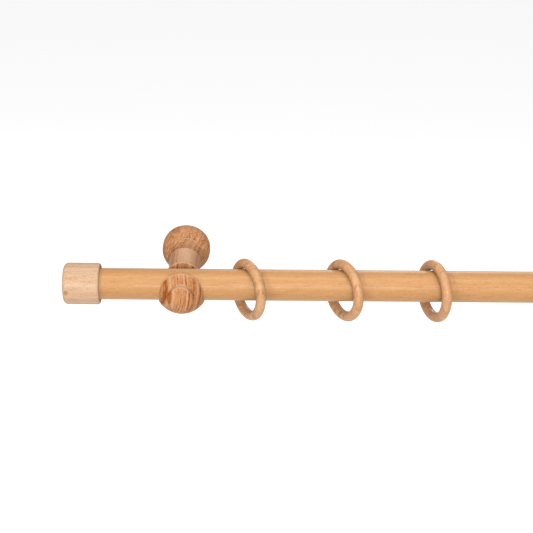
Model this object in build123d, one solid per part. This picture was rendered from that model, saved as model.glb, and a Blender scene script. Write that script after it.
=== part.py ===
from build123d import *
import math
import os

# Wooden curtain rod on two turned brackets, with push-on end caps and sliding rings.
# Millimetres. +X runs along the rod, +Y points into the wall and +Z is up.
# The origin lies on the wall face, midway between the two brackets' fixing bolts.

# Driving dimensions
ROD_DIAMETER = 28.0
ROD_LENGTH = 1200.0
ROD_END_CHAMFER = 0.6
WALL_TO_ROD = 98.0          # wall face to rod axis
ROD_RISE = 2.5              # rod axis above the bracket's turning axis
BRACKET_SPACING = 1010.0
FREE_GAP = 0.3              # between curved faces that slide past each other

# Holder: ball, arm and front button, turned in one piece about the bracket's axis
BALL_RADIUS = 23.7
BALL_STATION = 98.8         # stations are distances from the wall face
ARM_WAIST_RADIUS = 14.1
ARM_RIM_RADIUS = 14.8
ARM_RIM_ROUND = 0.7
ARM_BACK = 39.5
TENON_RADIUS = 8.0
TENON_LENGTH = 14.0
BUTTON_RADIUS = 11.2
BUTTON_FRONT = 130.3
BUTTON_EDGE_ROUND = 2.2
SADDLE_EDGE_ROUND = 0.7
SEAM_TURN = -65.0           # turned surfaces close here, clear of the saddle and the pin hole

# Wall rose: disc with a rounded shoulder, a bead and a coved neck
ROSE_RADIUS = 22.9
ROSE_RIM = 7.0              # straight band next to the wall
ROSE_SHOULDER = 15.9
BEAD_RADIUS = 15.6
BEAD_STATION = 17.0
COVE_RADIUS = 11.4
COVE_STATION = 28.0
NECK_RADIUS = 12.4
NECK_FRONT = 39.2
SOCKET_SLACK = 0.1
SOCKET_SPARE = 0.5          # depth left beyond the holder's tenon

# Fasteners
STUD_RADIUS = 3.0           # wood thread, outside
STUD_THREAD_RADIUS = 2.8    # machine thread, midway between its crests and roots
STUD_SHANK_RADIUS = 2.6     # plain shank between the two threads
STUD_SHANK_LENGTH = 8.0
STUD_OUT = 40.0             # beyond the wall face
STUD_IN = 48.0              # inside the bracket
STUD_POINT = 7.0
STUD_HOLE_SLACK = 0.1
PIN_RADIUS = 1.75
PIN_HEAD_RADIUS = 3.6
PIN_HEAD_HEIGHT = 2.2
PIN_HEAD_CHAMFER = 0.5
PIN_SLOT_WIDTH = 1.0
PIN_SLOT_DEPTH = 0.8
PIN_ENGAGEMENT = 5.0        # length of shank inside the rod
PIN_TIP = 1.0
PIN_RECESS = 1.2            # head sits this far inside the ball
PIN_HOLE_SLACK = 0.15
ROD_HOLE_RADIUS = 2.3
ROD_HOLE_DEPTH = 6.5

# End caps
CAP_RADIUS = 18.5
CAP_LENGTH = 32.2
CAP_BORE_DEPTH = 23.2
CAP_END_ROUND = 4.0
CAP_EDGE_ROUND = 2.0
CAP_MOUTH_ROUND = 0.8

# Rings
RING_INSIDE = 38.0
RING_SECTION = 9.0
RING_DROP = 4.6             # ring centre below the rod axis, hanging on its top
RING_PLACES = (
    # distance from the left bracket, turn about the vertical in degrees
    (59.0, 27.8),
    (144.0, 28.5),
    (224.5, 18.6),
    (336.0, 24.0),
    (414.0, 27.5),
    (489.0, 21.0),
    (568.0, 25.5),
    (643.0, 18.0),
    (721.0, 26.5),
    (797.0, 22.5),
    (875.0, 29.0),
    (951.0, 24.5),
)

ROD_RADIUS = ROD_DIAMETER / 2
SADDLE_RADIUS = ROD_RADIUS + FREE_GAP
CAP_BORE_RADIUS = ROD_RADIUS + FREE_GAP
ROD_AXIS_Y = -WALL_TO_ROD
SADDLE_BOTTOM = ROD_RISE - SADDLE_RADIUS
PIN_HEAD_BOTTOM = PIN_RECESS - BALL_RADIUS
PIN_HEAD_TOP = PIN_HEAD_BOTTOM + PIN_HEAD_HEIGHT
TENON_END = ARM_BACK - TENON_LENGTH
STUD_HOLE_RADIUS = STUD_RADIUS + STUD_HOLE_SLACK
TOUCH = 0.01                # edges closer than this to a place are taken to lie on it
UPRIGHT = (Align.CENTER, Align.CENTER, Align.MIN)
HANGING = (Align.CENTER, Align.CENTER, Align.MAX)
SIDES = (("left", -1), ("right", 1))


def turned(outline):
    """Revolve a half outline of (radius, station) about the bracket axis and stand it off the wall."""
    solid = revolve(make_face(outline), Axis.Z)
    return Rot(90, 0, 0) * Rot(0, 0, SEAM_TURN) * solid


def point(radius, station):
    return (radius, 0, station)


def rims_at(body, radius, station):
    """Circular edges of one radius, square to the bracket axis, at one station."""
    rims = []
    for edge in body.edges().filter_by(GeomType.CIRCLE):
        box = edge.bounding_box()
        flat = box.size.Y < TOUCH
        if flat and abs(edge.radius - radius) < TOUCH and abs(box.max.Y + station) < TOUCH:
            rims.append(edge)
    return rims


def ball_radius_at(station):
    return math.sqrt(BALL_RADIUS**2 - (station - BALL_STATION) ** 2)


def holder_blank():
    """Arm with its rear tenon, ball and front button, before the saddle is cut."""
    flare_end = 82.0
    cove_start = 118.9
    cove_bottom = (10.95, 120.9)
    button_back = 122.3
    button_edge = 127.2
    rim_shoulder = ARM_RIM_RADIUS - ARM_RIM_ROUND
    rim_front = ARM_BACK + ARM_RIM_ROUND
    rim_mid = ARM_RIM_ROUND * (1 - math.sqrt(0.5))
    flare_end_radius = ball_radius_at(flare_end)
    cove_start_radius = ball_radius_at(cove_start)
    dome_height = BUTTON_FRONT - button_edge
    dome_radius = (BUTTON_RADIUS**2 + dome_height**2) / (2 * dome_height)
    dome_mid_radius = BUTTON_RADIUS / 2
    dome_mid_station = BUTTON_FRONT - dome_radius + math.sqrt(dome_radius**2 - dome_mid_radius**2)
    edges = [
        Line(point(0, TENON_END), point(TENON_RADIUS, TENON_END)),
        Line(point(TENON_RADIUS, TENON_END), point(TENON_RADIUS, ARM_BACK)),
        Line(point(TENON_RADIUS, ARM_BACK), point(rim_shoulder, ARM_BACK)),
        ThreePointArc(
            point(rim_shoulder, ARM_BACK),
            point(ARM_RIM_RADIUS - rim_mid, ARM_BACK + rim_mid),
            point(ARM_RIM_RADIUS, rim_front),
        ),
        Spline(
            point(ARM_RIM_RADIUS, rim_front),
            point(ARM_WAIST_RADIUS + 0.15, 48),
            point(ARM_WAIST_RADIUS, 58),
            point(ARM_WAIST_RADIUS + 0.5, 71),
            point(flare_end_radius, flare_end),
        ),
        ThreePointArc(
            point(flare_end_radius, flare_end),
            point(BALL_RADIUS, BALL_STATION),
            point(cove_start_radius, cove_start),
        ),
        ThreePointArc(
            point(cove_start_radius, cove_start), point(*cove_bottom), point(BUTTON_RADIUS, button_back)
        ),
        Line(point(BUTTON_RADIUS, button_back), point(BUTTON_RADIUS, button_edge)),
        ThreePointArc(
            point(BUTTON_RADIUS, button_edge),
            point(dome_mid_radius, dome_mid_station),
            point(0, BUTTON_FRONT),
        ),
        Line(point(0, BUTTON_FRONT), point(0, TENON_END)),
    ]
    body = turned(edges)
    return fillet(rims_at(body, BUTTON_RADIUS, button_edge), BUTTON_EDGE_ROUND)


def saddle_tool():
    """U-shaped cutter: round bottom on the rod axis and straight walls open to the top."""
    across = 3 * BALL_RADIUS
    seat = Rot(0, 90, 0) * Cylinder(SADDLE_RADIUS, across)
    mouth = Box(across, 2 * SADDLE_RADIUS, 2 * BALL_RADIUS, align=UPRIGHT)
    return Pos(0, ROD_AXIS_Y, ROD_RISE) * (seat + mouth)


def saddle_edges(body):
    """Edges where the saddle meets the ball: all that lie between its two walls and turn up the sides."""
    edges = []
    for edge in body.edges():
        box = edge.bounding_box()
        nearest_wall = ROD_AXIS_Y + SADDLE_RADIUS + TOUCH
        furthest_wall = ROD_AXIS_Y - SADDLE_RADIUS - TOUCH
        between = box.max.Y < nearest_wall and box.min.Y > furthest_wall
        if between and edge.geom_type != GeomType.LINE:
            edges.append(edge)
    return edges


def pin_hole():
    """Clearance hole with a head recess, up from the ball's underside into the saddle."""
    shank = Cylinder(PIN_RADIUS + PIN_HOLE_SLACK, SADDLE_BOTTOM + 2 - PIN_HEAD_BOTTOM, align=UPRIGHT)
    recess = Cylinder(PIN_HEAD_RADIUS + FREE_GAP, 3 * PIN_HEAD_HEIGHT, align=HANGING)
    return Pos(0, ROD_AXIS_Y, PIN_HEAD_BOTTOM) * shank + Pos(0, ROD_AXIS_Y, PIN_HEAD_TOP) * recess


def bracket_holder():
    """Holder with its saddle, the blind hole for the hanger bolt and the pin's hole."""
    body = holder_blank() - saddle_tool()
    body = fillet(saddle_edges(body), SADDLE_EDGE_ROUND)
    depth = STUD_IN + 1 - TENON_END
    stud_hole = Cylinder(STUD_HOLE_RADIUS, depth)
    body -= Pos(0, -TENON_END - depth / 2, 0) * Rot(90, 0, 0) * stud_hole
    return body - pin_hole()


def wall_rose():
    """Disc against the wall, with the cove that runs out to the holder's arm."""
    shoulder_top = 16.6
    shoulder_mid = (21.1, 12.4)
    edges = [
        Line(point(0, 0), point(ROSE_RADIUS, 0)),
        Line(point(ROSE_RADIUS, 0), point(ROSE_RADIUS, ROSE_RIM)),
        ThreePointArc(point(ROSE_RADIUS, ROSE_RIM), point(*shoulder_mid), point(shoulder_top, ROSE_SHOULDER)),
        Line(point(shoulder_top, ROSE_SHOULDER), point(BEAD_RADIUS, ROSE_SHOULDER)),
        Line(point(BEAD_RADIUS, ROSE_SHOULDER), point(BEAD_RADIUS, BEAD_STATION)),
        ThreePointArc(
            point(BEAD_RADIUS, BEAD_STATION), point(COVE_RADIUS, COVE_STATION), point(NECK_RADIUS, NECK_FRONT)
        ),
        Line(point(NECK_RADIUS, NECK_FRONT), point(0, NECK_FRONT)),
        Line(point(0, NECK_FRONT), point(0, 0)),
    ]
    socket_depth = NECK_FRONT - TENON_END + SOCKET_SPARE
    socket = Cylinder(TENON_RADIUS + SOCKET_SLACK, socket_depth)
    body = turned(edges) - Pos(0, socket_depth / 2 - NECK_FRONT, 0) * Rot(90, 0, 0) * socket
    return body - Rot(90, 0, 0) * Cylinder(STUD_HOLE_RADIUS, 3 * NECK_FRONT)


def hanger_bolt():
    """Headless bolt: wood thread in the wall, plain shank, machine thread in the rose and the holder."""
    edges = [
        Line(point(0, -STUD_OUT), point(STUD_RADIUS * 0.2, -STUD_OUT)),
        Line(point(STUD_RADIUS * 0.2, -STUD_OUT), point(STUD_RADIUS, -STUD_OUT + STUD_POINT)),
        Line(point(STUD_RADIUS, -STUD_OUT + STUD_POINT), point(STUD_RADIUS, 0)),
        Line(point(STUD_RADIUS, 0), point(STUD_SHANK_RADIUS, 0)),
        Line(point(STUD_SHANK_RADIUS, 0), point(STUD_SHANK_RADIUS, STUD_SHANK_LENGTH)),
        Line(point(STUD_SHANK_RADIUS, STUD_SHANK_LENGTH), point(STUD_THREAD_RADIUS, STUD_SHANK_LENGTH)),
        Line(point(STUD_THREAD_RADIUS, STUD_SHANK_LENGTH), point(STUD_THREAD_RADIUS, STUD_IN)),
        Line(point(STUD_THREAD_RADIUS, STUD_IN), point(0, STUD_IN)),
        Line(point(0, STUD_IN), point(0, -STUD_OUT)),
    ]
    return turned(edges)


def locating_pin():
    """Slotted screw up through the saddle's floor; its end keeps the rod from turning and sliding."""
    tip = ROD_RISE - ROD_RADIUS + PIN_ENGAGEMENT
    shank = Cylinder(PIN_RADIUS, tip - PIN_HEAD_BOTTOM, align=UPRIGHT)
    shank = chamfer(shank.edges().group_by(Axis.Z)[-1], PIN_TIP)
    head = Cylinder(PIN_HEAD_RADIUS, PIN_HEAD_HEIGHT, align=UPRIGHT)
    head = chamfer(head.edges().group_by(Axis.Z)[0], PIN_HEAD_CHAMFER)
    slot = Box(3 * PIN_HEAD_RADIUS, PIN_SLOT_WIDTH, 2 * PIN_SLOT_DEPTH)
    return Pos(0, ROD_AXIS_Y, PIN_HEAD_BOTTOM) * (head + shank - slot)


def rod():
    body = Pos(0, ROD_AXIS_Y, ROD_RISE) * Rot(0, 90, 0) * Cylinder(ROD_RADIUS, ROD_LENGTH)
    body = chamfer(body.edges().filter_by(GeomType.CIRCLE), ROD_END_CHAMFER)
    for _, side in SIDES:
        hole = Cylinder(ROD_HOLE_RADIUS, 2 * ROD_HOLE_DEPTH)
        body -= Pos(side * BRACKET_SPACING / 2, ROD_AXIS_Y, ROD_RISE - ROD_RADIUS) * hole
    return body


def end_cap(side):
    """Cylinder with rounded rims and a blind bore for the rod's end."""
    mouth = side * (ROD_LENGTH / 2 + FREE_GAP - CAP_BORE_DEPTH)
    body = Pos(0, 0, CAP_LENGTH / 2) * Cylinder(CAP_RADIUS, CAP_LENGTH)
    body = fillet(body.edges().group_by(Axis.Z)[0], CAP_EDGE_ROUND)
    body = fillet(body.edges().group_by(Axis.Z)[-1], CAP_END_ROUND)
    body -= Cylinder(CAP_BORE_RADIUS, CAP_BORE_DEPTH, align=UPRIGHT)
    mouth_rim = body.edges().filter_by(GeomType.CIRCLE).filter_by_position(Axis.Z, -TOUCH, TOUCH)
    body = fillet(mouth_rim.sort_by(SortBy.RADIUS)[0], CAP_MOUTH_ROUND)
    return Pos(mouth, ROD_AXIS_Y, ROD_RISE) * Rot(0, side * 90, 0) * body


def ring(offset, turn):
    """Plain turned ring, hanging on top of the rod and turned a little on it."""
    major = (RING_INSIDE + RING_SECTION) / 2
    place = Pos(-BRACKET_SPACING / 2 + offset, ROD_AXIS_Y, ROD_RISE - RING_DROP)
    return place * Rot(0, 0, turn) * Rot(0, 90, 0) * Torus(major, RING_SECTION / 2)


def build():
    parts = {"rod": rod()}
    holder = bracket_holder()
    rose = wall_rose()
    bolt = hanger_bolt()
    pin = locating_pin()
    for name, side in SIDES:
        place = Pos(side * BRACKET_SPACING / 2, 0, 0)
        parts[f"bracket_holder_{name}"] = place * holder
        parts[f"wall_rose_{name}"] = place * rose
        parts[f"hanger_bolt_{name}"] = place * bolt
        parts[f"locating_pin_{name}"] = place * pin
        parts[f"end_cap_{name}"] = end_cap(side)
    for number, (offset, turn) in enumerate(RING_PLACES, start=1):
        parts[f"ring_{number:02d}"] = ring(offset, turn)
    return parts


os.makedirs("parts", exist_ok=True)
for node, shape in build().items():
    export_step(shape, f"parts/{node}.step")
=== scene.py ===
import math
from dataclasses import dataclass, replace

import bmesh
import bpy
from mathutils import Matrix, Vector


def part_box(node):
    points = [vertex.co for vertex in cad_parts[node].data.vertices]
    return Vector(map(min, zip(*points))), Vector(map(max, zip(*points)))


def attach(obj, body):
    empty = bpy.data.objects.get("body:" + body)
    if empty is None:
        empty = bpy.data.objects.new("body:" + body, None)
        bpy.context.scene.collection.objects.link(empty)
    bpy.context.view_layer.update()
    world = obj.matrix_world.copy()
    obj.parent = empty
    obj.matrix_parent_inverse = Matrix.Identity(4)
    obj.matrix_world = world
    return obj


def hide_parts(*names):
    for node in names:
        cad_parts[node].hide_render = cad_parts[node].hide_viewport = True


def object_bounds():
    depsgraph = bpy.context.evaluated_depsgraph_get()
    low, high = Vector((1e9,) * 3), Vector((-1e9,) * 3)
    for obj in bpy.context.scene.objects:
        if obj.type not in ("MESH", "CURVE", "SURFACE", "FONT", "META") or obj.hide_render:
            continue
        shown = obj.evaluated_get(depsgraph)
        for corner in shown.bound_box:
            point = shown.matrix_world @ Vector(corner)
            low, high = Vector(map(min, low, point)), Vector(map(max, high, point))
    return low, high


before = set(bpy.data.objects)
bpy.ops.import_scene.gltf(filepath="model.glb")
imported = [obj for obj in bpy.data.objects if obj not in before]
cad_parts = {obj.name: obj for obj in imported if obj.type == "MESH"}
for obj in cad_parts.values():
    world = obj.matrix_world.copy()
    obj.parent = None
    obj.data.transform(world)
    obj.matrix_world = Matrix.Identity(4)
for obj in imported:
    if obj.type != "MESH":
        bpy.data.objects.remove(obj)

cad_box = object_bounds()

# Metres throughout. +X runs along the rod, +Y into the wall and +Z up, as in the CAD frame.
MM = 0.001
SIDES = ("left", "right")


def middle(node):
    low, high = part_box(node)
    return (low + high) / 2


ROD_CENTRE = middle("rod")
ROD_RADIUS = (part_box("rod")[1].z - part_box("rod")[0].z) / 2
RINGS = sorted(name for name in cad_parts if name.startswith("ring_"))

# Camera: in front of the left bracket, looking down on the rod
CAMERA_DISTANCE = 1.005
CAMERA_ELEVATION = math.radians(22.0)
CAMERA_ROLL = math.radians(0.474)
CAMERA_RIGHT_OF_BRACKET = 48.0 * MM
CAMERA_AIM_ABOVE_ROD = 16.2 * MM
CAMERA_LENS = 76.45
CAMERA_SENSOR = 36.0
CAMERA_SHIFT = 0.0572

# Studio
FLOOR_DROP = 1.1        # from the lowest point of the object
FLOOR_SIZE = 60.0
FLOOR_GLOW = 0.66
FLOOR_PATCH = 0.6
FLOOR_TONES = ((0.49, 0.49, 0.49, 1), (0.51, 0.51, 0.51, 1))
WORLD_LIGHT = 0.50
STUDIO_LIGHT = 2.6      # how bright a white card facing the camera would be
SOFTBOXES = (           # name, place, width and height, watts
    ("key", (-0.25, -3.1, 0.8), (1.2, 1.0), 118.0),
    ("spark", (-2.3, -2.0, 1.5), (0.4, 0.4), 46.0),
    ("top", (-0.2, -0.8, 2.3), (2.6, 1.4), 72.0),
    ("back", (0.3, 3.2, 1.6), (1.5, 1.0), 45.0),
)

# Wood, the same in every board
SURFACE_GLOSS = 0.03    # white light that the surface throws back everywhere
DARKEST = 0.01          # the least that a colour channel keeps
BOARD_STEP = 0.37       # along the grain, from one board's place in the tree to the next
GROWTH_STEP = 7.3       # growth rings from one board to the next
TONE_SWING = 2.6        # noise keeps near its middle, so its swing is widened by this
WANDER = 2.0 * MM       # how far the growth rings stray
WANDER_CELL = (90 * MM, 16 * MM, 16 * MM)
SPECK_CELL = (2.4 * MM, 0.7 * MM, 0.7 * MM)
FLECK_CELL = (3.2 * MM, 0.9 * MM, 0.9 * MM)
FLECK_CORE = 0.12       # share of a cell that is all fleck
FLECK_EDGE = 0.30       # share of a cell where the fleck ends
PORE_TONES = (0.30, 0.62)
END_GRAIN_FROM = 0.6    # how square to the grain a face is where end grain starts to show
END_GRAIN_ROUGHER = 0.25
FIBRE_ROUGHER = 0.10
# how strongly the painted highlights along rims show
RIM_HIGHLIGHT_SHARE = 0.8
KNOT_CORE = 1.0 * MM
KNOT_EDGE = 3.0 * MM
KNOT_RAGGED = 3.0 * MM
KNOT_SHARE = 0.75
TOOL_MARK_PITCH = 0.7 * MM
BUMP_STRENGTH = 0.25
BUMP_DEPTH = 0.12 * MM
COAT_ROUGHNESS = 0.22

# Places on the pieces
KNOT_OUTWARD = 12.4 * MM        # from the cap's centre
KNOT_FORWARD = 18 * MM
KNOT_DOWN = 1.5 * MM
ANY_HEIGHT = -1.0
ROSE_RIM_HIGHLIGHT_BACK = 1.3 * MM        # from the neck's front face to the middle of the painted highlight along the holder's rear rim
# middle along Y of the painted highlight on the rose's bead
ROSE_BEAD_Y = -16.6 * MM
# half width of the painted highlights at the rose
ROSE_HIGHLIGHT_HALF = 0.7 * MM
LIP_HIGHLIGHT_OUTSIDE_ROD = 1.0 * MM      # from the rod's surface to the middle of the painted highlight along a saddle lip's edge
# half width of the painted highlight on a saddle lip
LIP_HIGHLIGHT_HALF = 0.55 * MM
HOLDER_GRAIN = 98               # degrees about Y: upright, leaning a little
ROSE_GRAIN = -62
RING_YAW = 24                   # degrees that each ring hangs askew
RING_TURN_FIRST = 60            # degrees that the first ring's grain is turned
RING_TURN_STEP = 47
BOARDS = {"rod": 1, "cap": 5, "holder": 9, "rose": 13, "ring": 20}     # first board of each kind

# Hanger bolts
STEEL_PATCH = (4 * MM, 4 * MM, 4 * MM)
STEEL_GRAIN = (0.5 * MM, 0.5 * MM, 0.5 * MM)
STEEL_ROUGHNESS = (0.26, 0.42)
BOLT_SIDES = 48
BOLT_STEP = 0.25 * MM
BOLT_POINT = 8 * MM
BOLT_TIP_RADIUS = 0.15 * MM
BOLT_TAPER_CURVE = 0.8
SHANK_LENGTH = 8 * MM
SHANK_BELOW_CREST = 0.4 * MM
WALL_THREAD = (2.6 * MM, 0.75 * MM)     # pitch and depth
HOLDER_THREAD = (1.0 * MM, 0.45 * MM)
FLANK_SLOPE = 2.6                       # at 2 the roots would be sharp


# ---------------------------------------------------------------- node helpers


def linear(value):
    """One sRGB channel of 0 to 255 as a linear share."""
    share = value / 255
    return share / 12.92 if share <= 0.04045 else ((share + 0.055) / 1.055) ** 2.4


def metal(red, green, blue):
    """An sRGB colour as a base colour, whatever the light."""
    return (linear(red), linear(green), linear(blue), 1.0)


def paint(red, green, blue):
    """The base colour that shows as this sRGB colour in the studio's light."""
    shown = (max(DARKEST, linear(value) - SURFACE_GLOSS) for value in (red, green, blue))
    return tuple(value / STUDIO_LIGHT for value in shown) + (1.0,)


class Graph:
    """Short calls for building one material's nodes."""

    def __init__(self, name):
        self.material = bpy.data.materials.new(name)
        self.material.use_nodes = True
        self.tree = self.material.node_tree
        self.shader = self.tree.nodes["Principled BSDF"]

    def put(self, socket, value):
        """Links a socket into the input, or sets the input to a plain value."""
        if isinstance(value, bpy.types.NodeSocket):
            self.tree.links.new(value, socket)
        else:
            socket.default_value = value

    def node(self, kind, settings=(), inputs=()):
        made = self.tree.nodes.new(kind)
        for key, value in dict(settings).items():
            setattr(made, key, value)
        for key, value in dict(inputs).items():
            self.put(made.inputs[key], value)
        return made

    def math(self, operation, a, b=0.0, c=0.0):
        made = self.node("ShaderNodeMath", {"operation": operation}, {0: a, 1: b, 2: c})
        return made.outputs[0]

    def vector(self, operation, a, b=(0.0, 0.0, 0.0)):
        return self.node("ShaderNodeVectorMath", {"operation": operation}, {0: a, 1: b})

    def scaled(self, vector, sizes):
        """The vector measured in cells of these sizes along x, y and z."""
        return self.vector("MULTIPLY", vector, tuple(1 / size for size in sizes)).outputs[0]

    def ramp(self, value, low, high, to_low=0.0, to_high=1.0):
        """A soft step from to_low at low to to_high at high."""
        inputs = {"Value": value, "From Min": low, "From Max": high, "To Min": to_low, "To Max": to_high}
        made = self.node("ShaderNodeMapRange", {"interpolation_type": "SMOOTHSTEP"}, inputs)
        return made.outputs[0]

    def noise(self, vector, detail=2.0, roughness=0.5, output="Fac"):
        inputs = {"Vector": vector, "Scale": 1.0, "Detail": detail, "Roughness": roughness}
        return self.node("ShaderNodeTexNoise", {"noise_dimensions": "3D"}, inputs).outputs[output]

    def noise_line(self, value, detail=2.0, roughness=0.5):
        """Noise that changes along one line only."""
        inputs = {"W": value, "Scale": 1.0, "Detail": detail, "Roughness": roughness}
        return self.node("ShaderNodeTexNoise", {"noise_dimensions": "1D"}, inputs).outputs["Fac"]

    def cells(self, vector):
        """How far each point is from the nearest of a scatter of points, one to a cell."""
        inputs = {"Vector": vector, "Scale": 1.0, "Randomness": 1.0}
        return self.node("ShaderNodeTexVoronoi", {"feature": "F1"}, inputs).outputs["Distance"]

    def mix(self, share, a, b):
        made = self.node("ShaderNodeMix", {"data_type": "RGBA", "clamp_factor": True})
        self.put(made.inputs[0], share)
        self.put(made.inputs[6], a)
        self.put(made.inputs[7], b)
        return made.outputs[2]

    def parts(self, vector):
        return self.node("ShaderNodeSeparateXYZ", (), {0: vector}).outputs

    def finish(self, **constants):
        """Sets the shader's plain values and hands over the material."""
        for key, value in constants.items():
            self.shader.inputs[key.replace("_", " ").title().replace("Ior", "IOR")].default_value = value
        return self.material


# ---------------------------------------------------------------- wood


@dataclass
class Wood:
    """How one board looks. Lengths are metres."""

    light: tuple
    mid: tuple
    dark: tuple
    fleck: tuple
    end: tuple
    edge: tuple = ()                       # the colour of the painted highlights along rims, where a piece has them
    ring_pitch: float = 3.0 * MM
    ring_share: float = 0.4
    fibre_length: float = 14 * MM
    fibre_width: float = 1.2 * MM
    fibre_share: float = 0.4
    speck_share: float = 0.25
    fleck_share: float = 0.4
    end_share: float = 0.6
    heart: tuple = (20 * MM, 160 * MM)     # the tree's centre, across the grain from the piece
    roughness: float = 0.38                # where no fibre or end grain makes it rougher
    coat: float = 0.0
    gloss: float = 0.2


def wood(name, look, centre, turn, number, highlight_bands=(), knot=None, turned=False):
    """Solid wood: growth rings about the tree's heart, fibres and rays, cut by the piece's own surface.

    turn takes the board's own axes, with its grain along X, to the row frame. number picks the board,
    so no two pieces look alike. The pale bands along rims are painted highlights, where edges catch the
    light: each is (middle along Y, half width, lowest z) and shows only above its lowest z.
    knot is the place of a small knot. turned leaves the faint tool marks of a lathe, round the Y axis.
    """
    g = Graph(name)
    at = g.node("ShaderNodeTexCoord")
    place = {"Vector": at.outputs["Object"], "Location": tuple(centre), "Rotation": turn}
    board = g.node("ShaderNodeMapping", {"vector_type": "TEXTURE"}, place).outputs[0]
    board = g.vector("ADD", board, (BOARD_STEP * number, 0.0, 0.0)).outputs[0]

    stray = g.noise(g.scaled(board, WANDER_CELL), detail=2.0, output="Color")
    stray = g.vector("SUBTRACT", stray, (0.5, 0.5, 0.5)).outputs[0]
    stray = g.node("ShaderNodeVectorMath", {"operation": "SCALE"}, {0: stray, "Scale": WANDER}).outputs[0]
    grown = g.vector("ADD", board, stray).outputs[0]

    across = g.vector("MULTIPLY", grown, (0.0, 1.0, 1.0)).outputs[0]
    from_heart = g.vector("DISTANCE", across, (0.0, *look.heart)).outputs["Value"]
    years = g.math("MULTIPLY_ADD", from_heart, 1 / look.ring_pitch, GROWTH_STEP * number)
    growth = g.noise_line(years, detail=2.5, roughness=0.6)
    fibre_cell = (look.fibre_length, look.fibre_width, look.fibre_width)
    fibres = g.noise(g.scaled(grown, fibre_cell), detail=4.0, roughness=0.65)
    specks = g.noise(g.scaled(board, SPECK_CELL), detail=2.0, roughness=0.7)
    flecks = g.ramp(g.cells(g.scaled(grown, FLECK_CELL)), FLECK_CORE, FLECK_EDGE, 1.0, 0.0)

    tone = 0.5
    shares = ((growth, look.ring_share), (fibres, look.fibre_share), (specks, look.speck_share))
    for pattern, share in shares:
        tone = g.math("MULTIPLY_ADD", g.math("SUBTRACT", pattern, 0.5), TONE_SWING * share, tone)
    colour = g.mix(g.ramp(tone, 0.0, 0.5), look.dark, look.mid)
    colour = g.mix(g.ramp(tone, 0.5, 1.0), colour, look.light)
    colour = g.mix(g.math("MULTIPLY", flecks, look.fleck_share), colour, look.fleck)

    normal = {"Vector": at.outputs["Normal"], "Rotation": turn}
    normal = g.node("ShaderNodeMapping", {"vector_type": "TEXTURE"}, normal).outputs[0]
    end_grain = g.ramp(g.math("ABSOLUTE", g.parts(normal)["X"]), END_GRAIN_FROM, 1.0)
    end = g.mix(g.ramp(specks, *PORE_TONES), look.mid, look.end)
    colour = g.mix(g.math("MULTIPLY", end_grain, look.end_share), colour, end)

    row = g.parts(at.outputs["Object"])
    # Painted highlights: pale bands along rims, where edges catch the light, kept above a lowest height
    # so that they fall on the upper side
    for where, half_width, lowest in highlight_bands:
        off = g.math("ABSOLUTE", g.math("SUBTRACT", row["Y"], where))
        highlight_band = g.ramp(off, half_width * 0.5, half_width, RIM_HIGHLIGHT_SHARE, 0.0)
        highlight_band = g.math("MULTIPLY", highlight_band, g.math("GREATER_THAN", row["Z"], lowest))
        colour = g.mix(highlight_band, colour, look.edge)
    if knot:
        off = g.vector("DISTANCE", at.outputs["Object"], knot).outputs["Value"]
        off = g.math("MULTIPLY_ADD", g.math("SUBTRACT", fibres, 0.5), KNOT_RAGGED, off)
        colour = g.mix(g.ramp(off, KNOT_CORE, KNOT_EDGE, KNOT_SHARE, 0.0), colour, look.fleck)
    g.put(g.shader.inputs["Base Color"], colour)

    rough = g.math("MULTIPLY_ADD", end_grain, END_GRAIN_ROUGHER, look.roughness)
    g.put(g.shader.inputs["Roughness"], g.math("MULTIPLY_ADD", fibres, FIBRE_ROUGHER, rough))

    height = g.math("MULTIPLY_ADD", specks, 0.5, fibres)
    height = g.math("SUBTRACT", height, g.math("MULTIPLY", flecks, 0.5))
    if turned:
        marks = g.noise_line(g.math("MULTIPLY", row["Y"], 1 / TOOL_MARK_PITCH), detail=2.0)
        height = g.math("MULTIPLY_ADD", marks, 0.7, height)
    relief = {"Height": height, "Strength": BUMP_STRENGTH, "Distance": BUMP_DEPTH}
    g.put(g.shader.inputs["Normal"], g.node("ShaderNodeBump", (), relief).outputs[0])
    return g.finish(specular_ior_level=look.gloss, coat_weight=look.coat, coat_roughness=COAT_ROUGHNESS)


def dress(node, material):
    """Gives a CAD node its finish."""
    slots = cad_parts[node].data.materials
    slots.clear()
    slots.append(material)


def grain(x=0.0, y=0.0, z=0.0):
    """Turn of a board from grain along X, in degrees about the row axes."""
    return tuple(math.radians(angle) for angle in (x, y, z))


def dress_rod():
    look = Wood(
        light=paint(238, 189, 137),
        mid=paint(224, 168, 114),
        dark=paint(198, 136, 80),
        fleck=paint(188, 124, 66),
        end=paint(206, 150, 98),
        ring_pitch=5.0 * MM,
        ring_share=0.25,
        fibre_length=16 * MM,
        fibre_width=1.8 * MM,
        speck_share=0.45,
        fleck_share=0.3,
        heart=(40 * MM, 60 * MM),
        roughness=0.34,
        gloss=0.14,
    )
    dress("rod", wood("rod_wood", look, ROD_CENTRE, grain(), BOARDS["rod"]))


def dress_caps():
    look = Wood(
        light=paint(246, 216, 186),
        mid=paint(234, 195, 161),
        dark=paint(204, 154, 114),
        fleck=paint(200, 134, 82),
        end=paint(222, 178, 140),
        ring_pitch=4.0 * MM,
        ring_share=0.35,
        fibre_width=1.1 * MM,
        speck_share=0.4,
        fleck_share=0.6,
        heart=(-50 * MM, 45 * MM),
        roughness=0.46,
        gloss=0.1,
    )
    for number, side in enumerate(SIDES):
        node = f"end_cap_{side}"
        centre = middle(node)
        outward = -1 if side == "left" else 1
        knot = centre + Vector((outward * KNOT_OUTWARD, -KNOT_FORWARD, -KNOT_DOWN))
        board = BOARDS["cap"] + number
        dress(node, wood(f"cap_wood_{side}", look, centre, grain(), board, knot=tuple(knot)))


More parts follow.
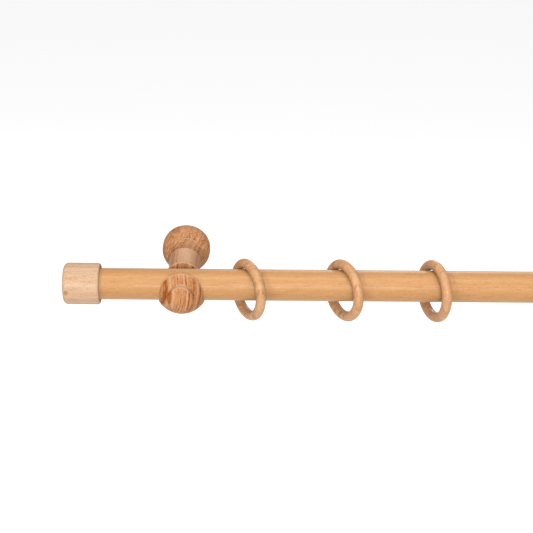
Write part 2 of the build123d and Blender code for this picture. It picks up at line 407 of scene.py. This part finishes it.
def dress_brackets():
    holder_look = Wood(
        light=paint(232, 180, 140),
        mid=paint(214, 151, 105),
        dark=paint(172, 101, 59),
        fleck=paint(164, 90, 46),
        end=paint(255, 210, 172),
        # colour of the painted highlights along rims
        edge=paint(255, 218, 182),
        ring_pitch=3.3 * MM,
        ring_share=1.0,
        fibre_length=18 * MM,
        fibre_share=0.7,
        speck_share=0.35,
        fleck_share=0.25,
        end_share=0.92,
        gloss=0.04,
    )
    rose_look = replace(
        holder_look,
        light=paint(240, 188, 146),
        mid=paint(210, 151, 108),
        dark=paint(154, 94, 58),
        ring_share=0.4,
        fibre_length=6 * MM,
        fibre_share=0.9,
        speck_share=0.4,
        end_share=0.2,
        roughness=0.41,
    )
    for number, side in enumerate(SIDES):
        holder = f"bracket_holder_{side}"
        rose = f"wall_rose_{side}"
        # Painted highlights: along the holder's rear rim all round, and along the saddle lips on their
        # upper half only
        highlight_bands = [(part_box(rose)[0].y - ROSE_RIM_HIGHLIGHT_BACK, ROSE_HIGHLIGHT_HALF, ANY_HEIGHT)]
        for sign in (-1, 1):
            lip_highlight = ROD_CENTRE.y + sign * (ROD_RADIUS + LIP_HIGHLIGHT_OUTSIDE_ROD)
            highlight_bands.append((lip_highlight, LIP_HIGHLIGHT_HALF, ROD_CENTRE.z))
        turn = grain(0, HOLDER_GRAIN, 0)
        board = BOARDS["holder"] + number
        made = wood(f"holder_wood_{side}", holder_look, middle(holder), turn, board, highlight_bands, turned=True)
        dress(holder, made)
        # Painted highlight along the rose's bead
        bead_highlight = [(ROSE_BEAD_Y, ROSE_HIGHLIGHT_HALF, ANY_HEIGHT)]
        turn = grain(0, ROSE_GRAIN, 0)
        board = BOARDS["rose"] + number
        made = wood(f"rose_wood_{side}", rose_look, middle(rose), turn, board, bead_highlight, turned=True)
        dress(rose, made)


def dress_rings():
    look = Wood(
        light=paint(244, 196, 152),
        mid=paint(230, 174, 126),
        dark=paint(184, 120, 74),
        fleck=paint(172, 106, 62),
        end=paint(212, 156, 112),
        fibre_length=12 * MM,
        fibre_share=0.5,
        end_share=0.4,
        heart=(35 * MM, 25 * MM),
        roughness=0.32,
        coat=0.05,
    )
    for number, name in enumerate(RINGS):
        along = (RING_TURN_FIRST + RING_TURN_STEP * number) % 180
        turn = grain(0, along, RING_YAW)
        dress(name, wood(f"{name}_wood", look, middle(name), turn, BOARDS["ring"] + number))


def steel(name):
    g = Graph(name)
    at = g.node("ShaderNodeTexCoord").outputs["Object"]
    cloud = g.noise(g.scaled(at, STEEL_PATCH), detail=4.0, roughness=0.6)
    fine = g.noise(g.scaled(at, STEEL_GRAIN), detail=2.0)
    colour = g.mix(g.ramp(cloud, 0.35, 0.65), metal(118, 120, 122), metal(150, 149, 146))
    g.put(g.shader.inputs["Base Color"], colour)
    g.put(g.shader.inputs["Roughness"], g.ramp(cloud, 0.3, 0.7, *STEEL_ROUGHNESS))
    bump = g.node("ShaderNodeBump", (), {"Height": fine, "Strength": 0.2, "Distance": 0.04 * MM})
    g.put(g.shader.inputs["Normal"], bump.outputs[0])
    return g.finish(metallic=1.0)


# ---------------------------------------------------------------- threaded bolts


def bolt_radius(outer, y, y_point, share):
    """The bolt's radius at y, at this share of a turn. y_point is where its point ends."""
    if -SHANK_LENGTH < y < 0:
        radius = outer - SHANK_BELOW_CREST
    else:
        pitch, depth = WALL_THREAD if y > 0 else HOLDER_THREAD
        phase = (y / pitch - share) % 1.0
        below_crest = min(1.0, abs(phase - 0.5) * FLANK_SLOPE)
        radius = outer - depth * below_crest
    taper = min(1.0, (y_point - y) / BOLT_POINT) ** BOLT_TAPER_CURVE
    return max(radius * taper, BOLT_TIP_RADIUS)


def threaded_bolt(side, material):
    """The hanger bolt with its real threads: coarse for the wall plug, fine inside the holder."""
    node = f"hanger_bolt_{side}"
    low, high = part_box(node)
    outer = (high.x - low.x) / 2
    centre = (low + high) / 2
    count = round((high.y - low.y) / BOLT_STEP)
    bm = bmesh.new()
    loops = []
    for i in range(count + 1):
        y = low.y + (high.y - low.y) * i / count
        loop = []
        for j in range(BOLT_SIDES):
            share = j / BOLT_SIDES
            radius = bolt_radius(outer, y, high.y, share)
            angle = 2 * math.pi * share
            x = centre.x + radius * math.cos(angle)
            z = centre.z + radius * math.sin(angle)
            loop.append(bm.verts.new((x, y, z)))
        loops.append(loop)
    for a, b in zip(loops, loops[1:]):
        for j in range(BOLT_SIDES):
            k = (j + 1) % BOLT_SIDES
            bm.faces.new((a[j], a[k], b[k], b[j]))
    bm.faces.new(list(reversed(loops[0])))
    bm.faces.new(loops[-1])
    bmesh.ops.recalc_face_normals(bm, faces=bm.faces)
    mesh = bpy.data.meshes.new(f"hanger_bolt_thread_{side}")
    bm.to_mesh(mesh)
    bm.free()
    for face in mesh.polygons:
        face.use_smooth = True
    bolt = bpy.data.objects.new(f"hanger_bolt_thread_{side}", mesh)
    bpy.context.scene.collection.objects.link(bolt)
    mesh.materials.append(material)
    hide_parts(node)
    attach(bolt, "brackets")


def dress_steel():
    material = steel("zinc_steel")
    for side in SIDES:
        dress(f"locating_pin_{side}", material)
        threaded_bolt(side, material)


# ---------------------------------------------------------------- studio


def floor():
    low = cad_box[0].z - FLOOR_DROP
    half = FLOOR_SIZE / 2
    mesh = bpy.data.meshes.new("floor")
    corners = [(-half, -half, low), (half, -half, low), (half, half, low), (-half, half, low)]
    mesh.from_pydata(corners, [], [(0, 1, 2, 3)])
    g = Graph("floor")
    at = g.node("ShaderNodeTexCoord").outputs["Object"]
    cloud = g.noise(g.scaled(at, (FLOOR_PATCH, FLOOR_PATCH, FLOOR_PATCH)), detail=3.0)
    g.put(g.shader.inputs["Base Color"], g.mix(cloud, *FLOOR_TONES))
    g.shader.inputs["Emission Color"].default_value = (1, 1, 1, 1)
    g.shader.inputs["Emission Strength"].default_value = FLOOR_GLOW
    mesh.materials.append(g.finish(roughness=0.9))
    obj = bpy.data.objects.new("floor", mesh)
    bpy.context.scene.collection.objects.link(obj)


def softbox(name, place, size, power):
    light = bpy.data.lights.new(name, "AREA")
    light.shape = "RECTANGLE"
    light.size, light.size_y = size
    light.energy = power
    obj = bpy.data.objects.new(name, light)
    obj.location = place
    obj.rotation_euler = (ROD_CENTRE - Vector(place)).to_track_quat("-Z", "Y").to_euler()
    bpy.context.scene.collection.objects.link(obj)


def studio():
    world = bpy.data.worlds.new("studio")
    world.use_nodes = True
    background = world.node_tree.nodes["Background"]
    background.inputs["Color"].default_value = (1.0, 1.0, 1.0, 1.0)
    background.inputs["Strength"].default_value = WORLD_LIGHT
    bpy.context.scene.world = world
    bpy.context.scene.view_settings.view_transform = "Standard"
    for box in SOFTBOXES:
        softbox(*box)
    floor()


def camera():
    forward = Vector((0, math.cos(CAMERA_ELEVATION), -math.sin(CAMERA_ELEVATION)))
    up = Vector((0, math.sin(CAMERA_ELEVATION), math.cos(CAMERA_ELEVATION)))
    aim = Vector((middle("bracket_holder_left").x + CAMERA_RIGHT_OF_BRACKET, ROD_CENTRE.y, ROD_CENTRE.z))
    data = bpy.data.cameras.new("camera")
    data.sensor_width = CAMERA_SENSOR
    data.lens = CAMERA_LENS
    data.shift_x = CAMERA_SHIFT
    data.clip_start = 0.05
    data.clip_end = 100.0
    obj = bpy.data.objects.new("camera", data)
    axes = Matrix((Vector((1, 0, 0)), up, -forward)).transposed().to_4x4()
    place = aim - CAMERA_DISTANCE * forward + CAMERA_AIM_ABOVE_ROD * up
    obj.matrix_world = Matrix.Translation(place) @ axes @ Matrix.Rotation(CAMERA_ROLL, 4, "Z")
    bpy.context.scene.collection.objects.link(obj)
    bpy.context.scene.camera = obj


camera()
studio()
dress_rod()
dress_caps()
dress_brackets()
dress_rings()
dress_steel()
